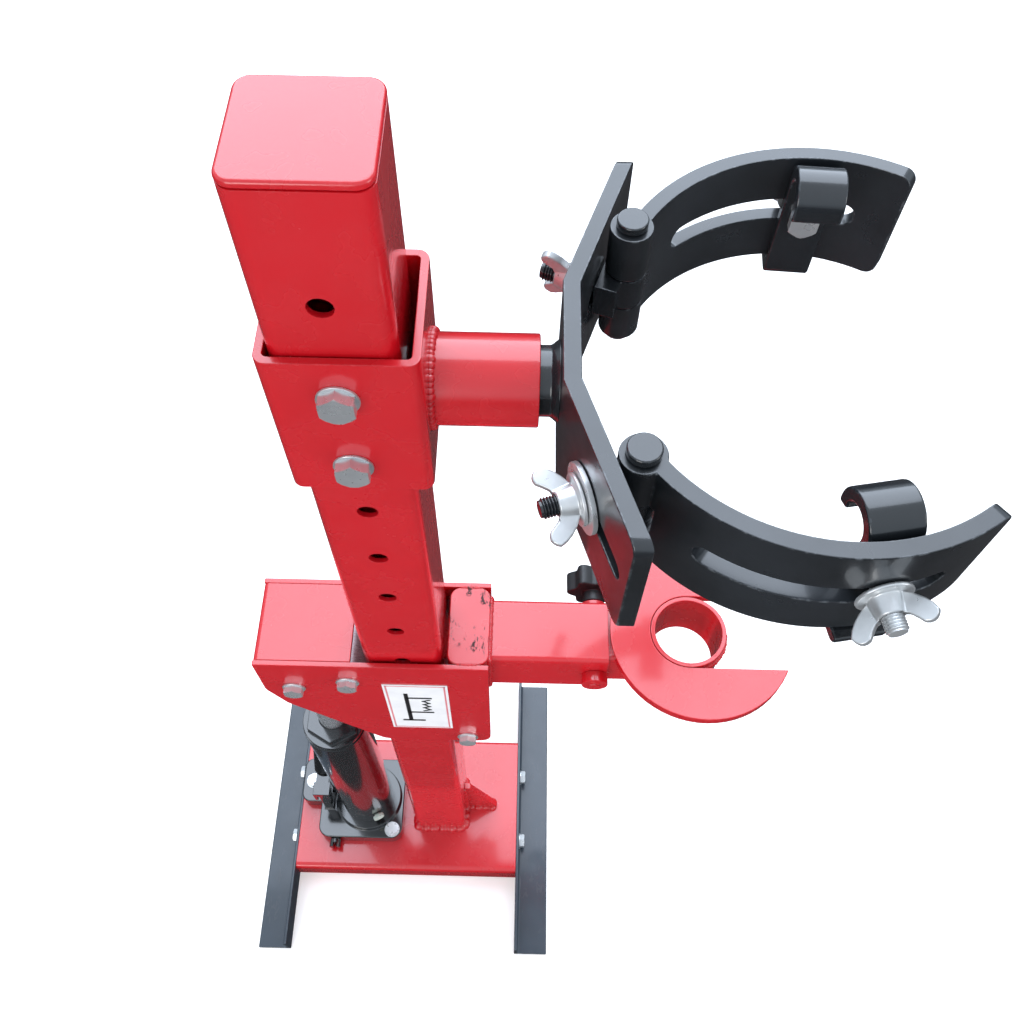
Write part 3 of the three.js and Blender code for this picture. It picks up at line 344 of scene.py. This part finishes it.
def hexagon(across, height, chamfer_low, chamfer_high):
    """A hexagon with its corners turned off at either end."""
    bm = bmesh.new()
    radius = across / 2 / math.cos(math.pi / 6)
    bmesh.ops.create_cone(bm, cap_ends=True, segments=6, radius1=radius, radius2=radius, depth=height,
                          matrix=Matrix.Translation((0, 0, height / 2)))
    tilt = math.radians(CHAMFER_TILT)
    ends = [(1, height)] * chamfer_high + [(-1, 0)] * chamfer_low
    for sign, level in ends:
        for corner in range(12):
            turn = math.radians(30 * corner)
            normal = Vector((math.cos(turn) * math.cos(tilt), math.sin(turn) * math.cos(tilt),
                             sign * math.sin(tilt)))
            point = Vector((across / 2 * math.cos(turn), across / 2 * math.sin(turn), level))
            cut_away(bm, point, normal)
    bmesh.ops.recalc_face_normals(bm, faces=bm.faces)
    return bm


def merge_into(bm, other, matrix=Matrix()):
    """Adds a second mesh to the first."""
    holder = bpy.data.meshes.new("holder")
    other.to_mesh(holder)
    other.free()
    holder.transform(matrix)
    bm.from_mesh(holder)
    bpy.data.meshes.remove(holder)


def washer_ring(outer, bore, thickness):
    r, w, t = outer / 2, bore / 2, thickness
    ease = 0.25 * MM
    outline = [(w, 0), (r - ease, 0), (r, ease), (r, t - ease), (r - ease, t), (w, t)]
    return lathe(outline, 40, closed=True)


def bolt_piece(node, direction, size):
    """A hex bolt with washers, nut and thread; direction points from its head to its nut."""
    low, high = span_along(node, direction)
    centre = middle(node)
    start = centre + direction * (low - centre.dot(direction))
    length = high - low
    across = (size * 1.6 + 0.6) * MM
    head = size * 0.62 * MM
    nut = size * 0.8 * MM
    nut_at = length - BOLT_TAIL - nut
    bm = hexagon(across, head, 1, 0)
    for height in (head, nut_at - WASHER_THICKNESS):
        washer = washer_ring(across + WASHER_MARGIN, size * MM, WASHER_THICKNESS)
        merge_into(bm, washer, Matrix.Translation((0, 0, height)))
    merge_into(bm, hexagon(across, nut, 0, 1), Matrix.Translation((0, 0, nut_at)))
    radius = size / 2 * MM
    merge_into(bm, lathe([(0, head * 0.5), (radius, head * 0.5), (radius, nut_at), (0, nut_at)], 24))
    pitch, depth = 0.14 * size * MM, 0.085 * size * MM
    thread = thread_profile(radius, nut_at + nut - MM, length, pitch, depth)
    merge_into(bm, lathe(thread, 24))
    bm.transform(frame_at(start, direction))
    return add_piece(f"{node}_shape", bm, ZINC, body_of(node), smooth=30, stands_for=(node,))


def threaded_stud(name, body, start, direction, length, radius, material):
    bm = lathe(thread_profile(radius, 0, length, M12_PITCH, M12_THREAD_DEPTH), 28)
    bm.transform(frame_at(start, direction))
    return add_piece(name, bm, material, body, smooth=30)


# ---- welds ---------------------------------------------------------------------------------------
WELD_WIDTH = {
    "column": 9 * MM, "gusset_foot": 7 * MM, "gusset_side": 6 * MM, "boss": 5 * MM,
    "arm_tube": 4.5 * MM, "end_block": 2.6 * MM, "saddle_ring": 4 * MM,
}
DROP_STEP = 0.55      # distance between drops over the bead's width
DROP_RADIUS = 0.62    # radius of a drop over the bead's width


def weld_bead(name, body, points, size, material, closed=False, unevenness=1.0):
    """A run of overlapping drops of weld metal along a path."""
    bm = bmesh.new()
    path = [Vector(point) for point in points]
    if closed:
        path.append(path[0])
    step = size * DROP_STEP
    count = 0
    for a, b in zip(path, path[1:]):
        steps = max(1, round((b - a).length / step))
        for i in range(steps):
            ripple = 1 + unevenness * (0.10 * math.sin(count * 2.3) + 0.06 * math.sin(count * 5.1))
            place = a.lerp(b, i / steps)
            bmesh.ops.create_icosphere(bm, subdivisions=2, radius=size * DROP_RADIUS * ripple,
                                       matrix=Matrix.Translation(place))
            count += 1
    return add_piece(name, bm, material, body, smooth=180, weighted=False)


def square_path(low, high, z, corner):
    """A rounded rectangle at one height."""
    points = []
    for sx, sy, turn in ((1, -1, -90), (1, 1, 0), (-1, 1, 90), (-1, -1, 180)):
        cx = (high.x if sx > 0 else low.x) - sx * corner
        cy = (high.y if sy > 0 else low.y) - sy * corner
        for i in range(5):
            angle = math.radians(turn + i * 22.5)
            points.append((cx + corner * math.cos(angle), cy + corner * math.sin(angle), z))
    return points


def circle_path(centre, axis, radius, count=48, start=0.0, sweep=360.0):
    """A circle round an axis, or an arc of it in degrees."""
    matrix = frame_at(centre, axis)
    steps = count if sweep < 360 else count - 1
    angles = [math.radians(start + sweep * i / count) for i in range(steps + 1)]
    return [matrix @ Vector((radius * math.cos(a), radius * math.sin(a), 0)) for a in angles]


# ---- the object's pieces -------------------------------------------------------------------------
# For each material, its nodes with the width of their rounded edges in mm and the segments across it.
SOFTENED = {
    RED: {
        "base_channel": (0.8, 2), "column": (0.5, 2), "column_cap": (2.2, 4), "column_gusset": (1.0, 2),
        "carriage_front_plate": (0.8, 2), "carriage_rear_plate": (0.8, 2), "carriage_cover": (0.8, 2),
        "arm_tube": (0.7, 2), "lock_nut": (0.8, 2), "extension_tube": (0.6, 2), "saddle_plate": (1.0, 2),
        "saddle_ring": (0.8, 2), "upper_sleeve": (0.8, 2), "boss_tube": (1.0, 2),
    },
    RED_KNOCKED: {"carriage_end_block": (1.2, 3)},
    BLACK: {
        "ram_head": (1.5, 3), "yoke_shaft": (0.8, 2), "hinge_pin_rear": (1.2, 3),
        "hinge_pin_front": (1.2, 3), "jaw_rear": (1.4, 3), "jaw_front": (1.4, 3),
    },
    BLACK_GLOSS: {
        "jack_base": (1.6, 3), "jack_reservoir": (0.6, 2), "jack_gland_nut": (0.8, 2),
        "handle_socket": (0.8, 2), "release_valve": (0.6, 2),
    },
    BLACK_CUT: {"yoke_bar": (1.0, 2), "arm_rear": (0.9, 2), "arm_front": (0.9, 2)},
    SLATE: {"left_foot": (0.7, 2), "right_foot": (0.7, 2)},
    STEEL: {"jack_cylinder": (0.4, 2), "jack_ram": (0.5, 2), "pump_plunger": (0.3, 2)},
    ROLLER_STEEL: {"upper_roller": (0.8, 2), "lower_roller": (0.8, 2)},
    PLASTIC: {"clamp_knob": (1.6, 3)},
    PLUG_PLASTIC: {"filler_plug": (0.8, 2)},
    ZINC: {"pivot_washer_rear": (0.4, 2), "pivot_washer_front": (0.4, 2)},
    CAST_ZINC: {
        "pivot_wing_nut_rear": (1.0, 3), "pivot_wing_nut_front": (1.0, 3),
        "jaw_wing_nut_rear": (1.0, 3), "jaw_wing_nut_front": (1.0, 3),
    },
    FILM: {"label_plate": (0.2, 1)},
}
for material, sizes in SOFTENED.items():
    for node, (width, segments) in sizes.items():
        soften_node(node, material, width, segments)

for node in ("foot_bolt_left_front", "foot_bolt_left_rear"):
    bolt_piece(node, X, 10)
for node in ("foot_bolt_right_front", "foot_bolt_right_rear"):
    bolt_piece(node, -X, 10)
for node in ("sleeve_bolt_upper", "sleeve_bolt_lower"):
    bolt_piece(node, Y, 12)
for node in ("upper_roller_bolt", "lower_roller_bolt", "ram_pin_bolt"):
    bolt_piece(node, Y, 10)
for node in ("jack_bolt_front", "jack_bolt_rear"):
    bolt_piece(node, -UP, 10)


def side_fasteners(side):
    """The threaded stud of the pivot block and the jaw's bolt."""
    turn = joints[f"pivot_nut_turn_{side}"]
    axis = Vector(turn["axis"]).normalized()
    point = Vector(turn["pos_m"])
    node = f"pivot_block_{side}"
    block = merged_copy(node)
    lip = 1 * MM
    face = point + axis * lip
    cut_away(block, face, axis)
    soften_edges(block, 0.8, 2)
    add_piece(f"{node}_shape", block, BLACK, body_of(node), stands_for=(node,))
    length = span_along(node, axis)[1] - point.dot(axis) - lip
    threaded_stud(f"pivot_stud_{side}", body_of(node), face, axis, length, M12_RADIUS, BLACK)

    turn = joints[f"jaw_nut_turn_{side}"]
    axis = Vector(turn["axis"]).normalized()
    point = Vector(turn["pos_m"])
    node = f"jaw_bolt_{side}"
    low, high = span_along(node, axis)
    start = point + axis * (low - point.dot(axis))
    bolt = hexagon(JAW_BOLT_ACROSS, JAW_BOLT_HEAD, 1, 0)
    thread = thread_profile(M12_RADIUS, JAW_BOLT_HEAD * 0.6, high - low, M12_PITCH, M12_THREAD_DEPTH)
    merge_into(bolt, lathe(thread, 28))
    bolt.transform(frame_at(start, axis))
    add_piece(f"{node}_shape", bolt, ZINC, body_of(node), smooth=30, stands_for=(node,))


for side in ("rear", "front"):
    side_fasteners(side)


def welds():
    low, high = (Vector(corner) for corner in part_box("column"))
    base_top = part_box("base_channel")[1][2]
    corner_radius = 9 * MM
    path = square_path(low, high, base_top + 0.5 * MM, corner_radius)
    weld_bead("column_weld", "frame", path, WELD_WIDTH["column"], RED, closed=True, unevenness=2.2)
    gusset_low, gusset_high = (Vector(corner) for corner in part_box("column_gusset"))
    for name, y in (("front", gusset_low.y), ("rear", gusset_high.y)):
        foot = [(high.x + 4 * MM, y, base_top), (gusset_high.x - 2 * MM, y, base_top)]
        weld_bead(f"gusset_foot_weld_{name}", "frame", foot, WELD_WIDTH["gusset_foot"], RED,
                  unevenness=2.0)
        rise = [(high.x, y, base_top + 4 * MM), (high.x, y, gusset_high.z - 3 * MM)]
        weld_bead(f"gusset_side_weld_{name}", "frame", rise, WELD_WIDTH["gusset_side"], RED,
                  unevenness=1.5)
    boss_low, boss_high = (Vector(corner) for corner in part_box("boss_tube"))
    centre = (boss_low + boss_high) / 2
    radius = (boss_high.y - boss_low.y) / 2
    ring_path = circle_path(Vector((boss_low.x + 0.5 * MM, centre.y, centre.z)), X, radius)
    weld_bead("boss_weld", "frame", ring_path, WELD_WIDTH["boss"], RED, closed=True)
    tube_low, tube_high = (Vector(corner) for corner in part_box("arm_tube"))
    half_width = 30 * MM
    corners = ((-half_width, tube_low.z), (half_width, tube_low.z),
               (half_width, tube_high.z), (-half_width, tube_high.z))
    ends = [Vector((tube_low.x, y, z)) for y, z in corners]
    weld_bead("arm_tube_weld", "carriage", ends, WELD_WIDTH["arm_tube"], RED, closed=True)
    block_low, block_high = (Vector(corner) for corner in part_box("carriage_end_block"))
    for name, y in (("front", block_low.y), ("rear", block_high.y)):
        seam = [(x, y, block_high.z - MM) for x in (block_low.x + 10 * MM, block_high.x - 10 * MM)]
        weld_bead(f"end_block_weld_{name}", "carriage", seam, WELD_WIDTH["end_block"], RED_KNOCKED)
    ring_low, ring_high = (Vector(corner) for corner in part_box("saddle_ring"))
    plate_low = Vector(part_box("saddle_plate")[0])
    ring_centre = (ring_low + ring_high) / 2
    under = Vector((ring_centre.x, ring_centre.y, plate_low.z - 0.5 * MM))
    arc = circle_path(under, UP, (ring_high.x - ring_low.x) / 2, 40, 95, 170)
    weld_bead("saddle_ring_weld", "extension", arc, WELD_WIDTH["saddle_ring"], RED)


welds()


def label_print():
    """A thin frame and a plain pictogram of a column, an arm and a pressed spring."""
    low, high = (Vector(corner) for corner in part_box("label_plate"))
    front = low.y

    def strips(name, shapes, material, rise):
        """Raised strips, each (x0, z0, x1, z1, width) in mm from the label's corner."""
        bm = bmesh.new()
        for x0, z0, x1, z1, width in shapes:
            a = Vector((low.x + x0 * MM, 0, low.z + z0 * MM))
            b = Vector((low.x + x1 * MM, 0, low.z + z1 * MM))
            run = (b - a).normalized()
            side = run.cross(Y) * width / 2 * MM
            corners = [a - side, b - side, b + side, a + side]
            verts = [bm.verts.new((c.x, front - rise * MM, c.z)) for c in corners]
            face = bm.faces.new(verts)
            made = bmesh.ops.extrude_face_region(bm, geom=[face])
            moved = [item for item in made["geom"] if isinstance(item, bmesh.types.BMVert)]
            bmesh.ops.translate(bm, verts=moved, vec=(0, (rise + 0.05) * MM, 0))
        bmesh.ops.recalc_face_normals(bm, faces=bm.faces)
        add_piece(name, bm, material, "carriage", weighted=False)

    w, h = (high.x - low.x) / MM, (high.z - low.z) / MM
    rim = [
        (2, 3, w - 2, 3, 1.6), (2, h - 3, w - 2, h - 3, 1.6),
        (3, 2, 3, h - 2, 1.6), (w - 3, 2, w - 3, h - 2, 1.6),
    ]
    strips("label_rim", rim, LABEL_RIM, 0.10)
    column = [(20, 22, 20, 100, 4), (12, 24, 34, 24, 4), (20, 48, 44, 48, 3.5), (20, 88, 44, 88, 3.5)]
    coils = [(34 + 6 * (i % 2), 52 + 4.5 * i, 40 - 6 * (i % 2) + 2, 56.5 + 4.5 * i, 2.4) for i in range(7)]
    strips("label_pictogram", column + coils, LABEL_INK, 0.14)


label_print()


# ---- studio --------------------------------------------------------------------------------------
def floor_material():
    finish = Finish("studio_floor", 0.9, specular=0.1)
    clouds = finish.span(finish.noise(2, 2), 0.3, 0.7)
    finish.colour(finish.mix(clouds, (0.95, 0.93, 0.91), (0.96, 0.94, 0.92)))
    finish.shader.inputs["Emission Color"].default_value = (1.0, 0.93, 0.86, 1)
    finish.shader.inputs["Emission Strength"].default_value = 0.28
    return finish.material


def studio():
    bm = bmesh.new()
    bmesh.ops.create_grid(bm, x_segments=1, y_segments=1, size=14)
    mesh = bpy.data.meshes.new("studio_floor")
    bm.to_mesh(mesh)
    bm.free()
    mesh.materials.append(floor_material())
    floor = bpy.data.objects.new("studio_floor", mesh)
    bpy.context.scene.collection.objects.link(floor)
    floor.visible_glossy = False

    world = bpy.data.worlds.new("studio")
    bpy.context.scene.world = world
    world.use_nodes = True
    tree = world.node_tree
    background = tree.nodes["Background"]
    direction = tree.nodes.new("ShaderNodeTexCoord").outputs["Generated"]
    split = tree.nodes.new("ShaderNodeSeparateXYZ")
    tree.links.new(direction, split.inputs[0])
    ramp = tree.nodes.new("ShaderNodeValToRGB")
    stops = ramp.color_ramp.elements
    stops[0].position, stops[0].color = 0.0, (0.05, 0.05, 0.055, 1)
    stops[1].position, stops[1].color = 1.0, (0.88, 0.97, 1.08, 1)
    middle_stop = stops.new(0.48)
    middle_stop.color = (0.07, 0.07, 0.075, 1)
    upper_stop = stops.new(0.62)
    upper_stop.color = (0.74, 0.86, 0.98, 1)
    half = tree.nodes.new("ShaderNodeMapRange")
    half.inputs["From Min"].default_value = -1
    tree.links.new(split.outputs["Z"], half.inputs["Value"])
    tree.links.new(half.outputs["Result"], ramp.inputs["Fac"])
    rays = tree.nodes.new("ShaderNodeLightPath")
    mix = tree.nodes.new("ShaderNodeMix")
    mix.data_type = "RGBA"
    tree.links.new(rays.outputs["Is Camera Ray"], mix.inputs["Factor"])
    tree.links.new(ramp.outputs["Color"], mix.inputs[6])
    mix.inputs[7].default_value = (1, 1, 1, 1)
    tree.links.new(mix.outputs[2], background.inputs["Color"])
    background.inputs["Strength"].default_value = 1.0

    for name, place, aim, size, power, colour in (
        ("top_light", (0.0, 2.0, 3.2), (0, 0, 0.6), 3.6, 160, (0.80, 0.90, 1.05)),
        ("front_light", (-1.4, -3.0, 1.9), (0, 0, 0.6), 1.6, 34, (1.0, 0.98, 0.96)),
        ("side_light", (3.2, -1.0, 1.8), (0, 0, 0.7), 1.2, 16, (1.0, 1.0, 1.0)),
    ):
        light = bpy.data.lights.new(name, "AREA")
        light.shape = "SQUARE"
        light.size = size
        light.energy = power
        light.color = colour
        lamp = bpy.data.objects.new(name, light)
        bpy.context.scene.collection.objects.link(lamp)
        lamp.location = place
        lamp.rotation_euler = (Vector(aim) - Vector(place)).to_track_quat("-Z", "Y").to_euler()
    bpy.context.scene.view_settings.view_transform = "Standard"


def camera():
    data = bpy.data.cameras.new("camera")
    data.sensor_width = 36
    data.lens = 35.43
    eye = bpy.data.objects.new("camera", data)
    bpy.context.scene.collection.objects.link(eye)
    eye.location = (0.0494, -0.3607, 1.5285)
    eye.rotation_euler = [math.radians(turn) for turn in (29.848, -0.454, 1.272)]
    data.clip_start = 0.01
    bpy.context.scene.camera = eye


studio()
camera()
